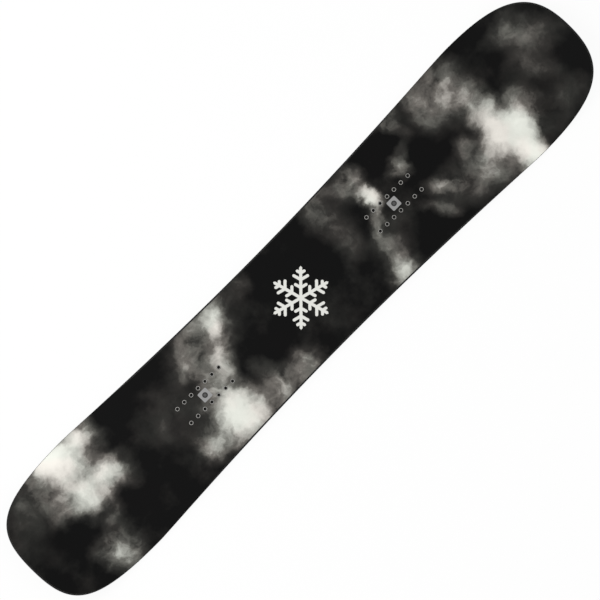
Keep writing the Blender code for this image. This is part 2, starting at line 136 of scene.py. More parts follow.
def press_stations():
    """Places along the blank where a layer may bend; each insert pack lies on one flat facet."""
    kick = [CONTACT_START] + [KICK_START + KICK_ARC * i / KICK_CUTS for i in range(KICK_CUTS + 1)]
    places = {-place for place in kick + list(CAMBER_CUTS)} | set(kick)
    places |= {-BLANK_HALF, BLANK_HALF, *NOSE_SIDE_CUTS, *MIDDLE_CUTS}
    for middle in PACK_PLACES.values():
        places |= {round(middle - PACK_HALF, 6), round(middle + PACK_HALF, 6)}
    return sorted(places)


STATIONS = press_stations()


def mould_point(s):
    """Place (x, z) of the base at a distance s along the blank."""
    side, reach = math.copysign(1, s), abs(s)
    if reach <= CONTACT_START:
        return Vector((s, CAMBER_HEIGHT * (1 - (s / CONTACT_START) ** 2) ** 2))
    if reach <= KICK_START:
        return Vector((s, 0))
    angle = min((reach - KICK_START) / KICK_RADIUS, KICK_ANGLE)
    straight = max(reach - KICK_START - KICK_ARC, 0)
    x = KICK_START + KICK_RADIUS * math.sin(angle) + straight * math.cos(angle)
    return Vector((side * x, KICK_RADIUS * (1 - math.cos(angle)) + straight * math.sin(angle)))


def eased(s, start, end):
    """Share from 0 to 1 that rises smoothly between two places, the same towards nose and tail."""
    share = min(max((abs(s) - start) / (end - start), 0), 1)
    return share * share * (3 - 2 * share)


def core_thickness(s):
    """Full under the feet, easing down to the thin tips."""
    return CORE_THICKNESS + (TIP_CORE_THICKNESS - CORE_THICKNESS) * eased(s, TAPER_START, SPACER_START)


def core_top(s):
    """Height of the core's top, straight between two press stations."""
    upper = min(max(bisect_right(STATIONS, s), 1), len(STATIONS) - 1)
    start, end = STATIONS[upper - 1], STATIONS[upper]
    share = (s - start) / (end - start)
    return CORE_BOTTOM + core_thickness(start) * (1 - share) + core_thickness(end) * share


def planed_height(s, z):
    """Height of a point of the full-thickness blank once the core has been planed to its taper."""
    if z <= RAIL_BOTTOM:
        return z
    top = core_top(s)
    if z >= FULL_CORE_TOP:
        return z - FULL_CORE_TOP + top
    return RAIL_BOTTOM + (z - RAIL_BOTTOM) * (top - RAIL_BOTTOM) / (FULL_CORE_TOP - RAIL_BOTTOM)


def pick(piece):
    """Selects this piece alone and makes it active."""
    if bpy.context.object and bpy.context.object.mode != "OBJECT":
        bpy.ops.object.mode_set(mode="OBJECT")
    bpy.ops.object.select_all(action="DESELECT")
    piece.select_set(True)
    bpy.context.view_layer.objects.active = piece


def edit(piece, kind="FACE", action="DESELECT"):
    """Opens a piece in edit mode with nothing selected, or with everything."""
    pick(piece)
    bpy.ops.object.mode_set(mode="EDIT")
    bpy.ops.mesh.select_mode(type=kind)
    bpy.ops.mesh.select_all(action=action)


def choose(piece, kind, test):
    """Selects the faces or edges of the piece in edit mode that pass the test."""
    bpy.ops.mesh.select_mode(type=kind)
    bpy.ops.mesh.select_all(action="DESELECT")
    bm = bmesh.from_edit_mesh(piece.data)
    bm.normal_update()
    for item in bm.faces if kind == "FACE" else bm.edges:
        if test(item):
            item.select = True
    bm.select_flush(True)
    bmesh.update_edit_mesh(piece.data)


def lies_at(face, level):
    return abs(face.calc_center_median().z - level) < CLEAR


def lift(distance):
    """Moves what is selected straight up."""
    bpy.ops.transform.translate(value=(0, 0, distance))


def extrude(distance):
    """Extrudes the selected faces straight up."""
    bpy.ops.mesh.extrude_region_move(TRANSFORM_OT_translate={"value": (0, 0, distance)})


def leave_edit(piece):
    """Closes edit mode with the faces pointing outwards."""
    bpy.ops.mesh.select_all(action="SELECT")
    bpy.ops.mesh.normals_make_consistent(inside=False)
    bpy.ops.object.mode_set(mode="OBJECT")
    return piece


def modify(piece, kind, **settings):
    """Adds a modifier with these settings and applies it."""
    made = piece.modifiers.new(kind.lower(), kind)
    for key, value in settings.items():
        setattr(made, key, value)
    pick(piece)
    bpy.ops.object.modifier_apply(modifier=made.name)


def break_edges(piece, width):
    """Takes the sharpness off the square edges, as trimming and filing do."""
    modify(piece, "BEVEL", limit_method="ANGLE", angle_limit=SQUARE_ANGLE, width=width, segments=1)


def outline_knots():
    """Knots of the outline, each with its place and the reach of the handles before and after it."""
    tip, outer, inner, waist = NOSE_HANDLES
    tail_tip, tail_outer, tail_inner, tail_waist = TAIL_HANDLES
    heel = [(BLANK_HALF, 0, 0, -tip, 0, tip),
            (BOARD_LENGTH / 2 - NOSE_LENGTH, NOSE_WIDTH / 2, outer, 0, -inner, 0),
            (-WAIST_SETBACK, WAIST_WIDTH / 2, waist, 0, -tail_waist, 0),
            (TAIL_LENGTH - BOARD_LENGTH / 2, TAIL_WIDTH / 2, tail_inner, 0, -tail_outer, 0),
            (-BLANK_HALF, 0, 0, tail_tip, 0, -tail_tip)]
    return heel + [(x, -y, ax, -ay, bx, -by) for x, y, bx, by, ax, ay in reversed(heel[1:-1])]


def bevel_width(s):
    """Width of the sidewall's bevel from above: broad along the waist and fine along the shoulders."""
    sizes = bpy.context.scene.board_sizes
    narrowed = (sizes.rail_lean - sizes.shoulder_lean) * eased(s, *BEVEL_NARROWS)
    return sizes.rail_lean - narrowed + (sizes.tip_lean - sizes.shoulder_lean) * eased(s, *BEVEL_GROWS)


def topsheet_inset(s):
    """How far the topsheet's rim stands back from the outline: it begins where the bevel ends."""
    return bpy.context.scene.board_sizes.rail_setback + bevel_width(s)


def inset_face(piece, width):
    """Insets the selected face by a width, or by one that is a function of the place along the blank."""
    if not callable(width):
        bpy.ops.mesh.inset(thickness=width)
        return
    middle = width(0)
    bpy.ops.mesh.inset(thickness=middle)
    bm = bmesh.from_edit_mesh(piece.data)
    inner = {vert for face in bm.faces if face.select for vert in face.verts}
    for vert in inner:
        ends = [side.other_vert(vert) for side in vert.link_edges]
        outer = next(end for end in ends if end not in inner)
        vert.co = outer.co + (vert.co - outer.co) * (width(outer.co.x) / middle)
    bmesh.update_edit_mesh(piece.data)


def draw_blank(name, inset):
    """Flat face over the board's outline, moved in by the inset, at z = 0."""
    bpy.ops.object.select_all(action="DESELECT")
    bpy.ops.curve.primitive_bezier_circle_add(radius=0.5)
    piece = bpy.context.object
    piece.name = name
    bpy.ops.object.mode_set(mode="EDIT")
    bpy.ops.curve.select_all(action="SELECT")
    bpy.ops.curve.subdivide(number_cuts=1)
    bpy.ops.object.mode_set(mode="OBJECT")
    spline = piece.data.splines[0]
    spline.resolution_u = bpy.context.scene.board_sizes.outline_steps
    for knot, (x, y, bx, by, ax, ay) in zip(spline.bezier_points, outline_knots()):
        knot.handle_left_type = knot.handle_right_type = "FREE"
        knot.co, knot.handle_left, knot.handle_right = (x, y, 0), (x + bx, y + by, 0), (x + ax, y + ay, 0)
    pick(piece)
    bpy.ops.object.convert(target="MESH")
    edit(piece, "EDGE", "SELECT")
    bpy.ops.mesh.remove_doubles(threshold=CLEAR)
    bpy.ops.mesh.edge_face_add()
    bpy.ops.mesh.select_mode(type="FACE")
    if inset:
        inset_face(piece, inset)
        bpy.ops.mesh.select_all(action="INVERT")
        bpy.ops.mesh.delete(type="FACE")
    return leave_edit(piece)


def raise_slab(piece, low, foot, high=None):
    """Turns a flat face into a slab whose rim stands up to the foot and then leans in by the bevel."""
    edit(piece, action="SELECT")
    lift(low)
    extrude(foot - low)
    if high is not None:
        inset_face(piece, bevel_width)
        lift(high - foot)
    return leave_edit(piece)


def hollow(piece, low, high, width, top_width):
    """Takes out the middle of a slab, so that only a ring of the given width stays."""
    edit(piece)
    for level, reach in ((low, width), (high, top_width)):
        choose(piece, "FACE", lambda face: len(face.verts) > FACE_CORNERS and lies_at(face, level))
        inset_face(piece, reach)
        bpy.ops.mesh.delete(type="FACE")
    choose(piece, "EDGE", lambda side: side.is_boundary)
    bpy.ops.mesh.bridge_edge_loops()
    return leave_edit(piece)


def keep_side(piece, place, outward):
    """Cuts off what lies beyond a plane and closes the cut."""
    edit(piece, action="SELECT")
    bpy.ops.mesh.bisect(plane_co=place, plane_no=outward, clear_outer=True, use_fill=True)
    return leave_edit(piece)


def copy_of(piece, name):
    """A copy with a mesh of its own."""
    made = piece.copy()
    made.data = piece.data.copy()
    made.name = made.data.name = name
    bpy.context.scene.collection.objects.link(made)
    return made


def press_guide():
    """The mould's side profile as a curve, with points close enough to keep its straight runs straight."""
    guide = bpy.data.objects.get("press_mould")
    if guide:
        return guide
    places = []
    for start, end in zip(STATIONS, STATIONS[1:]):
        steps = max(1, round((end - start) / GUIDE_STEP))
        first, last = mould_point(start), mould_point(end)
        places += [first.lerp(last, i / steps) for i in range(steps)]
    places.append(mould_point(STATIONS[-1]))
    curve = bpy.data.curves.new("press_mould", "CURVE")
    curve.dimensions = "3D"
    curve.twist_mode = "Z_UP"
    spline = curve.splines.new("POLY")
    spline.points.add(len(places) - 1)
    for knot, place in zip(spline.points, places):
        knot.co = (place.x, 0, place.y, 1)
    guide = bpy.data.objects.new("press_mould", curve)
    bpy.context.scene.collection.objects.link(guide)
    return guide


def bend(piece):
    """Bends a flat piece along the press mould."""
    for vert in piece.data.vertices:
        vert.co.x += BLANK_HALF
    modify(piece, "CURVE", object=press_guide(), deform_axis="POS_X")


def press(piece):
    """Cuts a flat piece at the stations, planes it to the core's taper and bends it on the mould."""
    xs = [vert.co.x for vert in piece.data.vertices]
    low, high = min(xs), max(xs)
    edit(piece)
    for s in STATIONS[1:-1]:
        if low < s < high:
            bpy.ops.mesh.select_all(action="SELECT")
            bpy.ops.mesh.bisect(plane_co=(s, 0, 0), plane_no=(1, 0, 0))
    leave_edit(piece)
    for vert in piece.data.vertices:
        vert.co.z = planed_height(vert.co.x, vert.co.z)
    bend(piece)


def check_closed(piece):
    """Stops the script if a piece came out empty or with an open edge."""
    bm = bmesh.new()
    bm.from_mesh(piece.data)
    sound = len(bm.faces) > 0 and all(len(side.link_faces) == 2 for side in bm.edges)
    bm.free()
    if not sound:
        raise RuntimeError(piece.name + " is empty or has an open edge")


def finish_piece(piece, name, material, slot, *nodes):
    """Shades a pressed piece, gives it its finish and lets it stand for its CAD nodes."""
    piece.name = piece.data.name = name
    check_closed(piece)
    pick(piece)
    bpy.ops.object.shade_smooth_by_angle(angle=SMOOTH_ANGLE)
    piece.data.materials.clear()
    piece.data.materials.append(material)
    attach(piece, "root")
    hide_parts(*nodes)


def press_side_strips(ring, name, material, slot, node):
    """Parts a ring into its heel and toe strips, ends them at the tip spacers and presses them."""
    for side, place in SIDES.items():
        strip = copy_of(ring, f"{side}_strip")
        keep_side(strip, (0, 0, 0), (0, -place, 0))
        for end in TIPS.values():
            keep_side(strip, (end * (SPACER_START - JOINT_HALF), 0, 0), (end, 0, 0))
        press(strip)
        finish_piece(strip, f"{name}_{side}", material, slot, f"{node}_{side}_side")
    bpy.data.objects.remove(ring)


class Net:
    """Short calls for adding nodes to one shader tree."""

    def __init__(self, tree):
        self.tree = tree

    def feed(self, socket, value):
        if isinstance(value, bpy.types.NodeSocket):
            self.tree.links.new(value, socket)
        else:
            socket.default_value = value

    def add(self, kind, feeds=(), **settings):
        made = self.tree.nodes.new(kind)
        for key, value in settings.items():
            setattr(made, key, value)
        for key, value in dict(feeds).items():
            self.feed(made.inputs[key], value)
        return made

    def math(self, operation, *values, clamp=False):
        feeds = dict(enumerate(values))
        return self.add("ShaderNodeMath", feeds, operation=operation, use_clamp=clamp).outputs[0]

    def plus(self, first, second):
        return self.math("ADD", first, second)

    def minus(self, first, second):
        return self.math("SUBTRACT", first, second)

    def times(self, first, second, plus=None):
        """Product of two values, with a third added to it if there is one."""
        if plus is None:
            return self.math("MULTIPLY", first, second)
        return self.math("MULTIPLY_ADD", first, second, plus)

    def mean(self, first, share, second):
        """Weighted mean of two values; the share is the first one's."""
        return self.times(first, share, self.times(second, 1 - share))

    def vector(self, operation, *values):
        made = self.add("ShaderNodeVectorMath", dict(enumerate(values)), operation=operation)
        return made.outputs["Value" if operation == "LENGTH" else "Vector"]

    def stretch(self, vector, scale):
        return self.vector("MULTIPLY", vector, scale)

    def flat(self, vector):
        return self.stretch(vector, (1, 1, 0))

    def split(self, vector):
        return self.add("ShaderNodeSeparateXYZ", {0: vector}).outputs

    def turn(self, vector, angle, back=False):
        feeds = {"Vector": vector, "Angle": angle}
        return self.add("ShaderNodeVectorRotate", feeds, rotation_type="Z_AXIS", invert=back).outputs[0]

    def noise(self, vector, scale, detail=3.0, roughness=0.5, distortion=0.0, color=False):
        feeds = {"Vector": vector, "Scale": scale, "Detail": detail, "Roughness": roughness,
                 "Distortion": distortion}
        return self.add("ShaderNodeTexNoise", feeds).outputs["Color" if color else "Fac"]

    def sway(self, vector, scale, detail, roughness, reach):
        """A place moved to and fro by coloured noise, at most half the reach each way."""
        noise = self.noise(vector, scale, detail, roughness, color=True)
        feeds = {0: self.vector("SUBTRACT", noise, grey(0.5)), "Scale": reach}
        return self.add("ShaderNodeVectorMath", feeds, operation="SCALE").outputs[0]

    def span(self, value, low, high, to_low=0.0, to_high=1.0, kind="SMOOTHSTEP"):
        feeds = {"Value": value, "From Min": low, "From Max": high, "To Min": to_low, "To Max": to_high}
        return self.add("ShaderNodeMapRange", feeds, interpolation_type=kind).outputs[0]

    def within(self, value, limit, fade, most=1.0):
        """Most where a value is under its limit, gone where it is past it by the fade."""
        return self.span(value, limit, self.plus(limit, fade), most, 0.0, "LINEAR")

    def ramp(self, value, *stops):
        made = self.add("ShaderNodeValToRGB", {"Fac": value})
        marks = made.color_ramp.elements
        while len(marks) < len(stops):
            marks.new(0.5)
        for mark, (place, color) in zip(marks, stops):
            mark.position = place
            mark.color = (*color, 1.0)
        return made.outputs["Color"]

    def blend(self, share, first, second, kind="MIX"):
        """Mix of two colours; a Mix node's sockets for colours are the numbers 6 and 7."""
        feeds = {0: share, 6: first, 7: second}
        return self.add("ShaderNodeMix", feeds, data_type="RGBA", blend_type=kind).outputs[2]

    def group(self, name, **feeds):
        return self.add("ShaderNodeGroup", feeds, node_tree=bpy.data.node_groups[name]).outputs


def grey(value):
    return (value, value, value)


def new_group(name, *outputs, **inputs):
    """An empty shader node group that takes a place and more; returns its net, inputs and outputs."""
    tree = bpy.data.node_groups.new(name, "ShaderNodeTree")
    for label, default in {"Place": (0, 0, 0), **inputs}.items():
        kind = "NodeSocketVector" if isinstance(default, tuple) else "NodeSocketFloat"
        tree.interface.new_socket(label, in_out="INPUT", socket_type=kind).default_value = default
    for label in outputs:
        tree.interface.new_socket(label, in_out="OUTPUT", socket_type="NodeSocketFloat")
    net = Net(tree)
    return net, net.add("NodeGroupInput").outputs, net.add("NodeGroupOutput").inputs


# Smoke of the print: place along and across the board and reach along and across in
# millimetres, turn in degrees, weight in hundredths
SMOKE = (
    (540, -74, 80, 112, 8, 102), (591, -62, 60, 88, -10, 54), (545, -138, 56, 62, 10, 85),
    (532, 6, 60, 90, -12, 68), (485, 100, 125, 110, 20, 36), (446, 100, 44, 85, 10, 10),
    (518, 70, 75, 75, 0, 20), (384, 130, 34, 64, 5, 44), (432, -80, 150, 95, -18, 28),
    (478, -70, 50, 80, 0, 12), (368, -44, 68, 28, -35, 30), (457, -16, 38, 36, 0, 26),
    (328, 48, 40, 44, 0, 44), (335, -80, 68, 30, -50, 28), (350, 72, 50, 24, 35, 20),
    (702, 62, 130, 66, -38, 32), (668, -4, 60, 85, 40, 22), (640, -105, 110, 80, 0, 16),
    (640, 140, 110, 60, 0, -12), (249, 40, 27, 52, 30, 100), (232, 98, 56, 64, 0, 46),
    (230, -4, 25, 80, -38, 46), (202, -62, 46, 80, -15, 34), (186, -112, 52, 50, 20, 66),
    (146, 118, 56, 110, -15, 24), (152, 26, 62, 95, 12, 20), (175, 85, 60, 90, 0, 12),
    (-576, 114, 132, 92, 0, 90), (-512, 130, 60, 60, 0, 45), (-604, 142, 70, 50, 10, 55),
    (-562, 28, 116, 55, -4, 94), (-632, 52, 75, 60, 10, 34), (-582, 70, 75, 44, 0, 24),
    (-700, 82, 105, 85, 15, 18), (-735, 0, 60, 80, 0, 6), (-632, -78, 80, 60, -30, 44),
    (-620, -112, 60, 70, 0, 50), (-580, -32, 50, 36, 20, 26), (-505, -5, 40, 50, 30, 22),
    (-250, -90, 94, 100, 0, 112), (-262, -36, 80, 62, 10, 42), (-338, -78, 60, 66, 10, 58),
    (-140, 108, 64, 54, 40, 52), (-178, 72, 92, 52, 42, 46), (-222, 22, 95, 60, 42, 50),
    (-256, 62, 58, 50, 0, 44), (-212, 104, 95, 56, 10, 44), (-212, 66, 30, 22, 20, -14),
    (-148, -106, 95, 66, 0, 50), (-82, -104, 50, 66, 0, 42), (-160, -56, 40, 72, 0, 24),
    (-78, 112, 44, 54, 0, 28), (-325, 10, 140, 100, 0, 13),
)


def smoke_puff_group():
    net, given, out = new_group("smoke puff", "Density", Centre=(0, 0, 0), Reach=(1, 1, 1), Turn=0.0,
                                Weight=1.0, Before=0.0)
    offset = net.vector("SUBTRACT", given["Place"], given["Centre"])
    turned = net.turn(offset, given["Turn"], back=True)
    distance = net.vector("LENGTH", net.flat(net.vector("DIVIDE", turned, given["Reach"])))
    fall = net.span(distance, 0.0, 1.0, given["Weight"], 0.0, "SMOOTHERSTEP")
    net.feed(out["Density"], net.plus(given["Before"], fall))


def smoke_group():
    """Printed smoke: soft puffs whose borders are pushed about by turbulence of several sizes."""
    net, given, out = new_group("printed smoke", "Density", Drift=0.05, Curl=0.02, Billow=1.0)
    place = net.flat(given["Place"])
    moved = net.vector("ADD", place, net.sway(place, 7.0, 2.0, 0.5, given["Drift"]))
    moved = net.vector("ADD", moved, net.sway(place, 19.0, 7.0, 0.57, given["Curl"]))
    density = 0.0
    for along, across, length, width, turn, weight in SMOKE:
        density = net.group("smoke puff", Place=moved, Centre=(along / 1000, across / 1000, 0),
                            Reach=(length / 1000, width / 1000, 1), Turn=math.radians(turn),
                            Weight=weight / 100, Before=density)["Density"]
    billow = net.minus(net.noise(moved, 34.0, 7.0, 0.60), 0.5)
    broad = net.minus(net.noise(moved, 12.0, 4.0, 0.55), 0.5)
    haze = net.span(net.noise(place, 6.0, 5.0, 0.6), 0.42, 0.78, 0.0, 0.15)
    body = net.plus(net.math("MAXIMUM", density, 0.0), haze)
    rise = net.span(body, 0.0, 0.5, 0.0, given["Billow"])
    depth = net.times(rise, net.span(body, 0.7, 1.4, 1.0, 0.3))
    shaped = net.times(broad, net.times(depth, 1.3), net.times(billow, depth, body))
    net.feed(out["Density"], net.times(shaped, 0.72))


def snow_crystal_group():
    """Mask of a plain six-armed snow crystal: one arm with three pairs of branches, folded six times."""
    net, given, out = new_group("snow crystal", "Mask", Radius=0.05, Stroke=0.003, Turn=0.0, Fray=0.0005)
    flat = net.flat(net.turn(given["Place"], given["Turn"]))
    reach = net.vector("LENGTH", flat)
    split = net.split(flat)
    sector = math.radians(60)
    angle = net.math("ARCTAN2", split["Y"], split["X"])
    folded = net.math("ABSOLUTE", net.math("WRAP", angle, sector / 2, -sector / 2))
    along, across = (net.math("DIVIDE", net.times(reach, net.math(wave, folded)), given["Radius"])
                     for wave in ("COSINE", "SINE"))
    beyond = net.math("MAXIMUM", net.minus(along, 1.0), 0.0)
    nearest = net.plus(net.math("ABSOLUTE", across), beyond)
    cos60, sin60 = math.cos(sector), math.sin(sector)
    for root, length in ((0.34, 0.20), (0.60, 0.26), (0.82, 0.13)):
        from_root = net.minus(along, root)
        run = net.plus(net.times(from_root, cos60), net.times(across, sin60))
        held = net.math("MINIMUM", net.math("MAXIMUM", run, 0.0), length)
        dx = net.minus(from_root, net.times(held, cos60))
        dy = net.minus(across, net.times(held, sin60))
        gap = net.math("SQRT", net.plus(net.times(dx, dx), net.times(dy, dy)))
        nearest = net.math("MINIMUM", nearest, gap)
    ragged = net.minus(net.noise(given["Place"], 420.0, 3.0, 0.6), 0.5)
    metres = net.times(ragged, given["Fray"], net.times(nearest, given["Radius"]))
    net.feed(out["Mask"], net.within(metres, net.times(given["Stroke"], 0.5), 0.0004))


def pack_mark_group():
    """Masks of the centre mark of an insert pack: a pale rounded square with a dark dot and ring."""
    net, given, out = new_group("pack mark", "Square", "Dot", Centre=0.0, Side=0.0225)
    centre = net.add("ShaderNodeCombineXYZ", {"X": given["Centre"]}).outputs[0]
    offset = net.flat(net.vector("SUBTRACT", given["Place"], centre))
    split = net.split(net.vector("ABSOLUTE", offset))
    radius = net.vector("LENGTH", offset)
    reach = net.math("MAXIMUM", split["X"], split["Y"])
    reach = net.math("MAXIMUM", reach, net.times(radius, 0.76))
    net.feed(out["Square"], net.within(reach, net.times(given["Side"], 0.5), 0.0003))
    middle = net.times(given["Side"], 0.20)
    ring = net.span(net.math("ABSOLUTE", net.minus(radius, middle)), 0.0012, 0.0016, 1.0, 0.0, "LINEAR")
    net.feed(out["Dot"], net.math("MAXIMUM", net.within(radius, middle, 0.0003, 0.80), ring))


def stroke_group():
    """Fine lines along one direction, as a planer, grinder or stone leaves them: height and tint."""
    net, given, out = new_group("tool strokes", "Height", "Tint", Stretch=(8, 900, 900))
    lined = net.stretch(given["Place"], given["Stretch"])
    broad = net.noise(net.stretch(lined, grey(0.23)), 1.0, 2.0, 0.5)
    height = net.mean(net.noise(lined, 1.0, 4.0, 0.6), 0.7, broad)
    net.feed(out["Height"], height)
    net.feed(out["Tint"], net.span(height, 0.3, 0.7, 0.0, 1.0, "LINEAR"))


def grain_group():
    """Fine even grain: height and tint of a satin lacquer, moulded plastic or rubber skin."""
    net, given, out = new_group("fine grain", "Height", "Tint", Scale=1200.0)
    grain = net.noise(given["Place"], given["Scale"], 3.0, 0.6)
    net.feed(out["Height"], grain)
    net.feed(out["Tint"], net.mean(grain, 0.6, net.noise(given["Place"], 18.0, 3.0, 0.55)))


def wear_group():
    """Rare fine nicks and scuffs: a mask that lets rougher wear show through."""
    net, given, out = new_group("handling wear", "Mask", Scale=60.0, Amount=0.3)
    patch = net.noise(given["Place"], given["Scale"], 2.0, 0.5)
    scratch = net.noise(net.stretch(given["Place"], (90.0, 700.0, 700.0)), 1.0, 2.0, 0.5)
    meet = net.times(net.span(patch, 0.58, 0.75), net.span(scratch, 0.60, 0.72))
    net.feed(out["Mask"], net.times(meet, given["Amount"]))


GROUPS = (smoke_puff_group, smoke_group, snow_crystal_group, pack_mark_group, stroke_group, grain_group,
          wear_group)


class Finish(Net):
    """The net of one material: its Principled shader's sockets, and the place on the piece."""

    def __init__(self, name, roughness, metallic=0.0, specular=0.5):
        if "smoke puff" not in bpy.data.node_groups:
            for build in GROUPS:
                build()
        self.material = bpy.data.materials.new(name)
        self.material.use_nodes = True
        super().__init__(self.material.node_tree)
        self.sockets = self.tree.nodes["Principled BSDF"].inputs
        self.set_sockets({"Roughness": roughness, "Metallic": metallic, "Specular IOR Level": specular})
        self.place = self.add("ShaderNodeTexCoord").outputs["Object"]

    def set_sockets(self, values):
        for key, value in values.items():
            self.feed(self.sockets[key], value)

    def strokes(self, stretch):
        return self.group("tool strokes", Place=self.place, Stretch=stretch)

    def grain(self, scale):
        return self.group("fine grain", Place=self.place, Scale=scale)

    def worn(self, roughness, scale, amount):
        """Roughness with handling wear added to it."""
        wear = self.group("handling wear", Place=self.place, Scale=scale, Amount=amount)["Mask"]
        return self.plus(roughness, wear)

    def done(self, color, roughness, height, strength, distance=0.0003):
        """Feeds colour, roughness and bump to the shader and returns the material."""
        bump = self.add("ShaderNodeBump", {"Height": height, "Strength": strength, "Distance": distance})
        self.set_sockets({"Base Color": color, "Roughness": roughness, "Normal": bump.outputs["Normal"]})
        return self.material


def toned(first, second, share):
    """Colour part of the way from one to another."""
    return tuple((1 - share) * a + share * b for a, b in zip(first, second))


def print_material():
    """Satin print under a clear coat: black ground, warm grey smoke, crystal and pack marks."""
    looks = bpy.context.scene.board_print
    net = Finish("topsheet print", 0.42, specular=0.055)
    density = net.group("printed smoke", Place=net.place, Drift=looks.drift, Curl=looks.curl,
                        Billow=looks.billow)["Density"]
    grain = net.grain(900.0)
    density = net.times(net.minus(grain["Tint"], 0.5), 0.05, density)
    dark, middle, pale = looks.ground, looks.smoke_grey, looks.smoke_pale
    shade = net.ramp(density, (0.02, dark), (0.16, toned(dark, middle, 0.20)), (0.36, middle),
                     (0.58, toned(middle, pale, 0.43)), (0.78, toned(middle, pale, 0.78)), (1.0, pale))
    warm = net.blend(net.span(net.noise(net.place, 15.0, 2.0, 0.5), 0.38, 0.62),
                     (1.03, 0.99, 0.97, 1), (0.985, 1.005, 0.975, 1))
    shade = net.blend(1.0, shade, warm, "MULTIPLY")
    crystal = net.group("snow crystal", Place=net.place, Radius=looks.crystal_radius, Stroke=0.0058,
                        Turn=math.radians(15), Fray=0.0012)["Mask"]
    shade = net.blend(crystal, shade, (*looks.mark, 1.0))
    for middle in PACK_PLACES.values():
        mark = net.group("pack mark", Place=net.place, Centre=middle)
        shade = net.blend(mark["Square"], shade, (*grey(0.295), 1.0))
        shade = net.blend(mark["Dot"], shade, (*grey(0.036), 1.0))
    rough = net.worn(net.times(grain["Tint"], 0.10, 0.34), 45.0, 0.16)
    return net.done(shade, rough, grain["Height"], 0.12)


def stroked_material(name, dark, light, roughness, stretch, metallic=0.0, specular=0.5, depth=0.15):
    """A finish that a tool has left lines in: planed plastic or ground steel."""
    net = Finish(name, roughness, metallic, specular)
    lines = net.strokes(stretch)
    tint = net.mean(lines["Tint"], 0.65, net.noise(net.place, 14.0, 3.0, 0.55))
    rough = net.worn(net.times(lines["Tint"], 0.16, roughness - 0.08), 70.0, 0.4)
    return net.done(net.ramp(tint, (0.2, dark), (0.8, light)), rough, lines["Height"], depth)


def planed_plastic(name, stretch):
    return stroked_material(name, grey(0.004), grey(0.020), 0.55, stretch, specular=0.06, depth=0.45)


def base_material():
    """Black sintered base: a stone-ground structure of crossing lines, and a haze of wax left in it."""
    net = Finish("stone-ground base", 0.40, specular=0.40)
    feeds = {"Vector": net.place, "Rotation": (0, 0, math.radians(7))}
    turned = net.add("ShaderNodeMapping", feeds).outputs[0]
    lines = net.strokes((9.0, 1100.0, 9.0))
    crossing = net.group("tool strokes", Place=turned, Stretch=(14.0, 700.0, 14.0))
    height = net.times(crossing["Height"], 0.5, lines["Height"])
    streak = net.noise(net.stretch(net.place, (2.6, 26.0, 1.0)), 1.0, 5.0, 0.62, 0.4)
    haze = net.span(streak, 0.36, 0.70)
    tint = net.mean(lines["Tint"], 0.35, haze)
    color = net.ramp(tint, (0.1, grey(0.006)), (0.5, grey(0.014)), (0.95, grey(0.042)))
    return net.done(color, net.worn(net.times(haze, 0.22, 0.30), 30.0, 0.25), height, 0.5)


def turned_steel(name, dark, light, roughness):
    """Turned steel of an insert: fine grain of the tool with a soft tarnish."""
    net = Finish(name, roughness, 1.0)
    grain = net.grain(2600.0)
    tarnish = net.noise(net.place, 260.0, 3.0, 0.6)
    color = net.ramp(net.mean(grain["Tint"], 0.5, tarnish), (0.25, dark), (0.75, light))
    rough = net.span(tarnish, 0.3, 0.7, roughness - 0.07, roughness + 0.12)
    return net.done(color, rough, grain["Height"], 0.15, 0.0002)


def rubber_material():
    net = Finish("damping rubber", 0.80)
    grain = net.grain(1600.0)
    color = net.ramp(grain["Tint"], (0.3, grey(0.012)), (0.7, grey(0.026)))
    return net.done(color, net.times(grain["Tint"], 0.2, 0.70), grain["Height"], 0.3, 0.0004)


def wood_material(name, dark, light):
    """Wood of a core strip: long grain with pores and slow changes of tone."""
    net = Finish(name, 0.62)
    lines = net.strokes((7.0, 420.0, 300.0))
    rings = net.noise(net.stretch(net.place, (2.2, 60.0, 60.0)), 1.0, 3.0, 0.55, 1.2)
    color = net.ramp(net.mean(rings, 0.6, lines["Tint"]), (0.25, dark), (0.75, light))
    rough = net.span(lines["Tint"], 0.0, 1.0, 0.55, 0.72, "LINEAR")
    return net.done(color, rough, lines["Height"], 0.3, 0.0004)


def weave_material(name, dark, light, pitch):
    """Glass cloth set in resin: crossing bundles that dip under each other."""
    net = Finish(name, 0.38)
    wander = net.stretch(net.noise(net.place, 30.0, 2.0, color=True), grey(0.002))
    split = net.split(net.vector("ADD", net.place, wander))
    warp, weft = (net.math("SINE", net.times(split[axis], 2 * math.pi / pitch)) for axis in "XY")
    cloth = net.times(net.times(warp, weft), 0.5, 0.5)
    rough = net.span(cloth, 0.0, 1.0, 0.30, 0.46, "LINEAR")
    return net.done(net.ramp(cloth, (0.1, dark), (0.9, light)), rough, cloth, 0.3, 0.0002)


LengthProperty = partial(FloatProperty, unit="LENGTH")
ColorProperty = partial(FloatVectorProperty, subtype="COLOR", min=0, max=1)


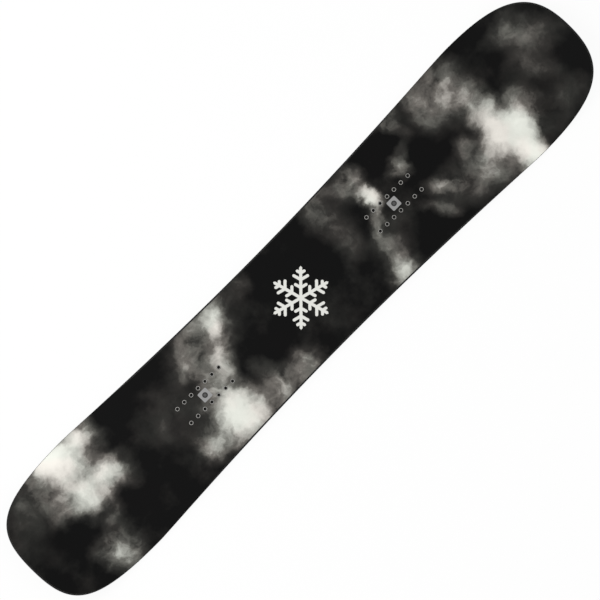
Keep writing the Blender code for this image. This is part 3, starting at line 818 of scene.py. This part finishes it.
class BoardSizes(bpy.types.PropertyGroup):
    outline_steps: IntProperty(
        name="Outline steps", default=56, min=8, max=128,
        description="Straight pieces in each of the eight spans of the outline")
    rail_setback: LengthProperty(
        name="Sidewall setback", default=0.0003,
        description="How far the sidewall stands back from the steel edge")
    rail_lean: LengthProperty(
        name="Sidewall bevel", default=0.0031,
        description="Width of the sidewall's bevel from above, along the waist")
    shoulder_lean: LengthProperty(
        name="Shoulder bevel", default=0.0005,
        description="Width of the bevel between the waist and the tips")
    tip_lean: LengthProperty(
        name="Tip bevel", default=0.0020, description="Width of the bevel round the nose and the tail")
    rail_width: LengthProperty(
        name="Sidewall width", default=0.0117, description="Width of the sidewall at its foot")
    edge_width: LengthProperty(
        name="Steel edge width", default=0.0020, description="Width of the steel edge seen from below")
    hole_radius: LengthProperty(
        name="Insert hole radius", default=0.0047, description="Radius of the holes over the inserts")
    insert_sides: IntProperty(
        name="Insert sides", default=32, min=12, max=64, description="Sides of each turned insert")


class BoardPrint(bpy.types.PropertyGroup):
    ground: ColorProperty(
        name="Ground", default=(0.0028, 0.0028, 0.0029), description="Colour between the smoke")
    smoke_grey: ColorProperty(
        name="Smoke grey", default=(0.145, 0.140, 0.129), description="Colour of thin smoke")
    smoke_pale: ColorProperty(
        name="Smoke pale", default=(0.88, 0.88, 0.83), description="Colour of dense smoke")
    mark: ColorProperty(
        name="Mark", default=(0.74, 0.74, 0.70), description="Colour of the snow crystal")
    crystal_radius: LengthProperty(
        name="Crystal radius", default=0.062, description="Reach of the snow crystal's arms")
    drift: LengthProperty(
        name="Drift", default=0.05, description="How far broad turbulence moves the smoke")
    curl: LengthProperty(
        name="Curl", default=0.055, description="How far fine turbulence moves the smoke")
    billow: FloatProperty(
        name="Billow", default=0.9, subtype="FACTOR",
        description="Strength of light and dark inside the smoke")


class BoardStage(bpy.types.PropertyGroup):
    camera_height: LengthProperty(
        name="Camera height", default=12.0, description="Height of the camera over the deck")
    view_width: LengthProperty(
        name="View width", default=1.2263, description="Width of the floor that the picture shows")
    board_turn: FloatProperty(
        name="Board turn", default=math.radians(45.413), subtype="ANGLE",
        description="Turn of the board's length in the picture")
    sky: FloatProperty(
        name="Sky light", default=0.78, description="Strength of the soft light from all round")
    lamp: FloatProperty(
        name="Lamp power", default=38.0, unit="POWER", description="Power of the large soft lamp")


def insert_grid():
    """Centres of the inserts of one pack, in its own frame, row by row."""
    first = -(INSERTS_PER_ROW - 1) * INSERT_PITCH / 2
    return [(first + i * INSERT_PITCH, row * INSERT_ROW_SPACING / 2)
            for row in (-1, 1) for i in range(INSERTS_PER_ROW)]


def bore_inserts(piece):
    """Cuts the 28 round holes for the inserts through a flat layer."""
    sizes = bpy.context.scene.board_sizes
    x, y = insert_grid()[0]
    bpy.ops.object.select_all(action="DESELECT")
    bpy.ops.mesh.primitive_cylinder_add(
        vertices=sizes.insert_sides, radius=sizes.hole_radius, depth=DRILL_LENGTH,
        location=(PACK_PLACES["rear"] + x, y, DRILL_LEVEL))
    drill = bpy.context.object
    stance = PACK_PLACES["front"] - PACK_PLACES["rear"]
    for count, step in ((INSERTS_PER_ROW, (INSERT_PITCH, 0, 0)), (2, (0, INSERT_ROW_SPACING, 0)),
                        (2, (stance, 0, 0))):
        modify(drill, "ARRAY", count=count, use_relative_offset=False, use_constant_offset=True,
               constant_offset_displace=step)
    modify(piece, "BOOLEAN", operation="DIFFERENCE", solver="EXACT", object=drill)
    bpy.data.objects.remove(drill)


class SNOWBOARD_OT_base(bpy.types.Operator):
    """Press the running base inside the steel edges"""
    bl_idname = "snowboard.base"
    bl_label = "Base sheet"

    def execute(self, context):
        piece = draw_blank("running_base", context.scene.board_sizes.edge_width + BASE_FIT)
        raise_slab(piece, *BASE_SHEET)
        press(piece)
        finish_piece(piece, "ground_base", base_material(), "base", "base_sheet")
        return {"FINISHED"}


class SNOWBOARD_OT_steel_edges(bpy.types.Operator):
    """Bend the steel edges: a square rail with a thin flange, slotted into anchor teeth"""
    bl_idname = "snowboard.steel_edges"
    bl_label = "Steel edges"

    # Marks the faces of the square rail while the flange is cut, and how far up a face looks when it is
    # coloured dark
    rail_mark, stained_rise = 1, 0.5

    def execute(self, context):
        ring = draw_blank("edge_ring", 0)
        self.draw_strips(ring, context.scene.board_sizes.edge_width)
        self.cut_teeth(ring)
        flange_low, flange_top = EDGE_FLANGE
        edit(ring, action="SELECT")
        extrude(flange_low - flange_top)
        choose(ring, "FACE", lambda face: face.material_index == self.rail_mark
               and lies_at(face, flange_low))
        extrude(-flange_low)
        leave_edit(ring)
        steel = stroked_material("ground steel", (0.36, 0.36, 0.37), (0.54, 0.54, 0.55), 0.30,
                                 (14.0, 1500.0, 1500.0), metallic=1.0)
        # A dark matt non-metal for the faces of the steel that point upwards
        stained = stroked_material("steel dark where it faces up", grey(0.012), grey(0.040), 0.60,
                                   (14.0, 300.0, 300.0), specular=0.10)
        for side, place in SIDES.items():
            rail = copy_of(ring, "edge_" + side)
            keep_side(rail, (0, place * JOINT_HALF, 0), (0, -place, 0))
            break_edges(rail, STEEL_CHAMFER)
            press(rail)
            finish_piece(rail, f"ground_steel_edge_{side}", steel, "steel_edge", f"steel_edge_{side}_side")
            # What faces up beside the sidewall takes a dark matt colour in place of steel
            rail.data.materials.append(stained)
            for face in rail.data.polygons:
                face.material_index = int(face.normal.z > self.stained_rise)
        bpy.data.objects.remove(ring)
        return {"FINISHED"}

    def draw_strips(self, ring, edge_width):
        """Draws the rail, the tooth root and the rest of the flange as three flat strips, in that order."""
        edit(ring, action="SELECT")
        lift(EDGE_FLANGE[1])
        bpy.ops.mesh.inset(thickness=edge_width)
        bm = bmesh.from_edit_mesh(ring.data)
        for face in bm.faces:
            face.material_index = 0 if face.select else self.rail_mark
        bmesh.update_edit_mesh(ring.data)
        for step in (TOOTH_ROOT, FLANGE_REACH - TOOTH_ROOT):
            bpy.ops.mesh.inset(thickness=step)
        bpy.ops.mesh.delete(type="FACE")
        leave_edit(ring)

    @staticmethod
    def cut_teeth(ring):
        """Deletes a stretch of the innermost strip at each tooth pitch."""
        edit(ring)
        bm = bmesh.from_edit_mesh(ring.data)
        bm.faces.ensure_lookup_table()
        walk = 0.0
        for face in bm.faces[2 * (len(bm.faces) // 3):]:
            if walk % TOOTH_PITCH < TOOTH_SLOT:
                face.select = True
            walk += max(side.calc_length() for side in face.edges)
        bmesh.update_edit_mesh(ring.data)
        bpy.ops.mesh.delete(type="FACE")
        leave_edit(ring)


class SNOWBOARD_OT_damping(bpy.types.Operator):
    """Lay the rubber strips over the anchor flanges of the steel edges"""
    bl_idname = "snowboard.damping"
    bl_label = "Edge damping"

    def execute(self, context):
        sizes = context.scene.board_sizes
        ring = raise_slab(draw_blank("rubber_ring", sizes.rail_setback), *DAMPING)
        hollow(ring, *DAMPING, sizes.rail_width, sizes.rail_width)
        press_side_strips(ring, "rubber_strip", rubber_material(), "damping_rubber", "edge_damping")
        return {"FINISHED"}


class SNOWBOARD_OT_sidewalls(bpy.types.Operator):
    """Mill the two bevelled sidewalls"""
    bl_idname = "snowboard.sidewalls"
    bl_label = "Sidewalls"

    def execute(self, context):
        sizes = context.scene.board_sizes
        ring = raise_slab(draw_blank("rail_ring", sizes.rail_setback), *SIDEWALL)
        low, _, high = SIDEWALL
        hollow(ring, low, high, sizes.rail_width, lambda s: sizes.rail_width - bevel_width(s))
        plastic = planed_plastic("planed sidewall", (6.0, 1100.0, 1300.0))
        press_side_strips(ring, "milled_sidewall", plastic, "sidewall", "sidewall")
        return {"FINISHED"}


class SNOWBOARD_OT_tip_spacers(bpy.types.Operator):
    """Mould the plastic spacers that fill the two tips"""
    bl_idname = "snowboard.tip_spacers"
    bl_label = "Tip spacers"

    def execute(self, context):
        slab = raise_slab(draw_blank("tip_slab", context.scene.board_sizes.rail_setback), *TIP_SPACER)
        plastic = planed_plastic("planed tip spacer", (120.0, 500.0, 1300.0))
        for name, end in TIPS.items():
            tip = copy_of(slab, name + "_tip")
            keep_side(tip, (end * (SPACER_START + JOINT_HALF), 0, 0), (-end, 0, 0))
            press(tip)
            finish_piece(tip, f"moulded_{name}_spacer", plastic, "tip_spacer", f"{name}_spacer")
        bpy.data.objects.remove(slab)
        return {"FINISHED"}


class SNOWBOARD_OT_upper_laminate(bpy.types.Operator):
    """Press the glass laminate under the topsheet; its rim shows as a fine line"""
    bl_idname = "snowboard.upper_laminate"
    bl_label = "Upper laminate"

    def execute(self, context):
        piece = draw_blank("glass_skin", lambda s: topsheet_inset(s) - LAMINATE_RIM)
        raise_slab(piece, *UPPER_LAMINATE)
        bore_inserts(piece)
        press(piece)
        resin = weave_material("resin and glass", (0.026, 0.026, 0.022), (0.046, 0.045, 0.038), 0.0011)
        finish_piece(piece, "glass_laminate_top", resin, "laminate", "upper_laminate")
        return {"FINISHED"}


class SNOWBOARD_OT_topsheet(bpy.types.Operator):
    """Press the printed topsheet with its 28 insert holes"""
    bl_idname = "snowboard.topsheet"
    bl_label = "Topsheet"

    def execute(self, context):
        piece = raise_slab(draw_blank("topsheet_skin", topsheet_inset), *TOPSHEET)
        bore_inserts(piece)
        break_edges(piece, TOPSHEET_CHAMFER)
        press(piece)
        finish_piece(piece, "printed_topsheet", print_material(), "topsheet", "topsheet")
        return {"FINISHED"}


class SNOWBOARD_OT_inserts(bpy.types.Operator):
    """Turn one threaded insert and set 28 of them into the two packs"""
    bl_idname = "snowboard.inserts"
    bl_label = "Binding inserts"

    # Heights: the blind bore's floor and the drill's point under it, the rim and the flange
    floor, drill_point, top, flange_top, flange_low = 0.0044, 0.0003, 0.0099, 0.0042, 0.0032
    # Radii; the first is the small circle on the axis where the section begins and ends
    axis, bore, thread, mouth, barrel, foot, flange = 0.0001, 0.0025, 0.0030, 0.0033, 0.0045, 0.0047, 0.0075
    mouth_depth, chamfer = 0.0006, 0.00015
    # Thread: its start over the floor, its pitch, how many grooves, and one groove in shares of the pitch
    thread_start, thread_pitch, grooves = 0.0006, 0.001, 4
    groove = ((bore, 0), (thread, 0.4), (thread, 0.5), (bore, 0.9))
    # Faces within this radius and over this level take a dark colour: blackened plating, and painted shade
    # deep in the bore
    dark_radius, dark_level = 0.0029, 0.0039

    def section(self):
        """Turned section from the bore's floor, up the thread, over the rim and down to the flange."""
        points = [(self.axis, self.floor - self.drill_point), (self.bore, self.floor)]
        for i in range(self.grooves):
            level = self.floor + self.thread_start + i * self.thread_pitch
            points += [(radius, level + share * self.thread_pitch) for radius, share in self.groove]
        return points + [
            (self.bore, self.top - self.mouth_depth), (self.mouth, self.top),
            (self.barrel - self.chamfer, self.top), (self.barrel, self.top - self.chamfer),
            (self.barrel, self.flange_top), (self.foot, self.flange_top), (self.flange, self.flange_top),
            (self.flange, self.flange_low), (self.axis, self.flange_low)]

    def turn_nut(self, sides):
        """Turns the section round the upright axis, one ring after another."""
        points = self.section()
        radius, level = points[0]
        bpy.ops.object.select_all(action="DESELECT")
        bpy.ops.mesh.primitive_circle_add(vertices=sides, radius=radius, location=(0, 0, level))
        nut = bpy.context.object
        bpy.ops.object.transform_apply(location=True)
        edit(nut, "EDGE", "SELECT")
        for (radius, level), (wider, higher) in zip(points, points[1:]):
            bpy.ops.mesh.extrude_edges_move(TRANSFORM_OT_translate={"value": (0, 0, higher - level)})
            share = wider / radius
            bpy.ops.transform.resize(value=(share, share, 1), center_override=(0, 0, 0))
        for _ in range(2):
            choose(nut, "EDGE", lambda side: side.is_boundary)
            bpy.ops.mesh.edge_face_add()
        return leave_edit(nut)

    def execute(self, context):
        nut = self.turn_nut(context.scene.board_sizes.insert_sides)
        inside = [math.hypot(*face.center.xy) < self.dark_radius and face.center.z > self.dark_level
                  for face in nut.data.polygons]
        steel = turned_steel("turned steel", (0.20, 0.20, 0.19), (0.42, 0.41, 0.39), 0.34)
        # Dark colour of the bore: partly blackened plating, partly painted shade inside the hole
        thread = turned_steel("dark thread with painted shade", (0.012, 0.012, 0.012), (0.045, 0.044, 0.042), 0.55)
        for pack, middle in PACK_PLACES.items():
            for number, (x, y) in enumerate(insert_grid(), start=1):
                label = f"insert_{pack}_{number:02d}"
                piece = copy_of(nut, "nut_" + label)
                edit(piece, action="SELECT")
                bpy.ops.transform.translate(value=(middle + x, y, 0))
                bend(leave_edit(piece))
                finish_piece(piece, "turned_" + label, steel, "insert_steel", label)
                piece.data.materials.append(thread)
                # Bore faces take the dark material, which holds painted shade as well as blackened plating
                for face, in_painted_shade in zip(piece.data.polygons, inside):
                    face.material_index = int(in_painted_shade)
        bpy.data.objects.remove(nut)
        return {"FINISHED"}


class SNOWBOARD_OT_inner_layers(bpy.types.Operator):
    """Give the wood core, lower laminate and insert mats their finishes"""
    bl_idname = "snowboard.inner_layers"
    bl_label = "Inner layers"

    def execute(self, context):
        pale = wood_material("poplar core", (0.46, 0.32, 0.18), (0.70, 0.54, 0.34))
        dark = wood_material("beech core", (0.30, 0.17, 0.09), (0.50, 0.32, 0.18))
        glass = weave_material("lower glass", (0.30, 0.32, 0.22), (0.62, 0.64, 0.50), 0.0024)
        fleece = weave_material("insert mat cloth", (0.48, 0.46, 0.40), (0.78, 0.76, 0.68), 0.0012)
        finishes = {"lower_laminate": glass, "insert_mat_front": fleece, "insert_mat_rear": fleece}
        for number in range(1, 12):
            finishes[f"core_strip_{number:02d}"] = pale if number % 2 else dark
        for name, material in finishes.items():
            piece = bpy.data.objects.get(name)
            if piece is None:
                raise RuntimeError("no CAD node named " + name)
            for slot in piece.material_slots:
                slot.material = material
        return {"FINISHED"}


class SNOWBOARD_OT_stage(bpy.types.Operator):
    """Set the pale floor, the soft light and the camera over the deck"""
    bl_idname = "snowboard.stage"
    bl_label = "Stage"

    floor_radius, floor_level, floor_color, floor_glow = 30, -0.0004, (0.92, 0.92, 0.92, 1), 0.92
    lamp_place, lamp_width = (-1.2, 1.6, 2.6), 1.8
    # Width of the picture, where the camera aims from the board's middle, in pixels, and the deck's height
    picture_width, aim, deck_height = 600, (-0.87, -2.17), 0.012

    def execute(self, context):
        stage = context.scene.board_stage
        self.lay_floor()
        self.set_sky(stage.sky)
        self.hang_lamp(stage.lamp)
        self.place_camera(stage)
        return {"FINISHED"}

    @staticmethod
    def seen(net):
        """Share that is 1 where the camera, a reflection or glass looks, and 0 where light is gathered."""
        path = net.add("ShaderNodeLightPath").outputs
        seen = net.math("ADD", path["Is Camera Ray"], path["Is Glossy Ray"], clamp=True)
        return net.math("ADD", seen, path["Is Transmission Ray"], clamp=True)

    def lay_floor(self):
        bpy.ops.object.select_all(action="DESELECT")
        bpy.ops.mesh.primitive_circle_add(vertices=64, radius=self.floor_radius, fill_type="NGON",
                                          location=(0, 0, self.floor_level))
        floor = bpy.context.object
        bpy.ops.object.transform_apply(location=True)
        floor.name = "studio_floor"
        material = bpy.data.materials.new("pale floor")
        material.use_nodes = True
        net = Net(material.node_tree)
        net.tree.nodes.clear()
        pale = net.add("ShaderNodeBsdfDiffuse", {"Color": self.floor_color}).outputs[0]
        white = net.add("ShaderNodeEmission", {"Strength": 1.0}).outputs[0]
        share = net.times(self.seen(net), self.floor_glow)
        lit = net.add("ShaderNodeMixShader", {0: share, 1: pale, 2: white}).outputs[0]
        clear = net.add("ShaderNodeBsdfTransparent").outputs[0]
        under = net.add("ShaderNodeNewGeometry").outputs["Backfacing"]
        top = net.add("ShaderNodeMixShader", {0: under, 1: lit, 2: clear}).outputs[0]
        net.add("ShaderNodeOutputMaterial", {"Surface": top})
        floor.data.materials.append(material)

    def set_sky(self, strength):
        world = bpy.data.worlds.new("soft studio")
        world.use_nodes = True
        net = Net(world.node_tree)
        back = net.tree.nodes["Background"].inputs
        back["Color"].default_value = (1, 1, 1, 1)
        net.feed(back["Strength"], net.times(self.seen(net), 1.0 - strength, strength))
        bpy.context.scene.world = world

    def hang_lamp(self, power):
        bpy.ops.object.light_add(type="AREA", location=self.lamp_place)
        lamp = bpy.context.object
        lamp.name = "soft_lamp"
        lamp.data.shape = "DISK"
        lamp.data.size = self.lamp_width
        lamp.data.energy = power
        lamp.rotation_euler = (-lamp.location).to_track_quat("-Z", "Y").to_euler()

    def place_camera(self, stage):
        bpy.ops.object.camera_add()
        camera = bpy.context.object
        camera.name = "camera_over_deck"
        camera.rotation_euler.z = -stage.board_turn
        aim = Vector((*self.aim, 0)) * (stage.view_width / self.picture_width)
        aim.rotate(camera.rotation_euler)
        camera.location = aim + Vector((0, 0, stage.camera_height + self.deck_height))
        camera.data.lens = camera.data.sensor_width * stage.camera_height / stage.view_width
        camera.data.clip_end = 100
        bpy.context.scene.camera = camera
        bpy.context.scene.view_settings.view_transform = "Standard"


class SNOWBOARD_PT_panel(bpy.types.Panel):
    """Lists the pieces of the board and the stage, with the sizes and colours behind them"""
    bl_idname = "SNOWBOARD_PT_panel"
    bl_label = "Snowboard"
    bl_space_type = "VIEW_3D"
    bl_region_type = "UI"
    bl_category = "Snowboard"

    def draw(self, context):
        for step in STEPS:
            self.layout.operator(step.bl_idname)
        for name, holder in HOLDERS.items():
            box = self.layout.box()
            for size in holder.__annotations__:
                box.prop(getattr(context.scene, name), size)


STEPS = (SNOWBOARD_OT_base, SNOWBOARD_OT_steel_edges, SNOWBOARD_OT_damping, SNOWBOARD_OT_sidewalls,
         SNOWBOARD_OT_tip_spacers, SNOWBOARD_OT_upper_laminate, SNOWBOARD_OT_topsheet, SNOWBOARD_OT_inserts,
         SNOWBOARD_OT_inner_layers, SNOWBOARD_OT_stage)
HOLDERS = {"board_sizes": BoardSizes, "board_print": BoardPrint, "board_stage": BoardStage}
CLASSES = (*HOLDERS.values(), *STEPS, SNOWBOARD_PT_panel)


def register():
    for made in CLASSES:
        bpy.utils.register_class(made)
    for name, holder in HOLDERS.items():
        setattr(bpy.types.Scene, name, PointerProperty(type=holder))


def unregister():
    for name in HOLDERS:
        delattr(bpy.types.Scene, name)
    for made in reversed(CLASSES):
        bpy.utils.unregister_class(made)


def main():
    register()
    bpy.ops.snowboard.stage()
    bpy.ops.snowboard.base()
    bpy.ops.snowboard.steel_edges()
    bpy.ops.snowboard.damping()
    bpy.ops.snowboard.sidewalls()
    bpy.ops.snowboard.tip_spacers()
    bpy.ops.snowboard.upper_laminate()
    bpy.ops.snowboard.topsheet()
    bpy.ops.snowboard.inserts()
    bpy.ops.snowboard.inner_layers()
    bpy.data.objects.remove(press_guide())


if __name__ == "__main__":
    main()
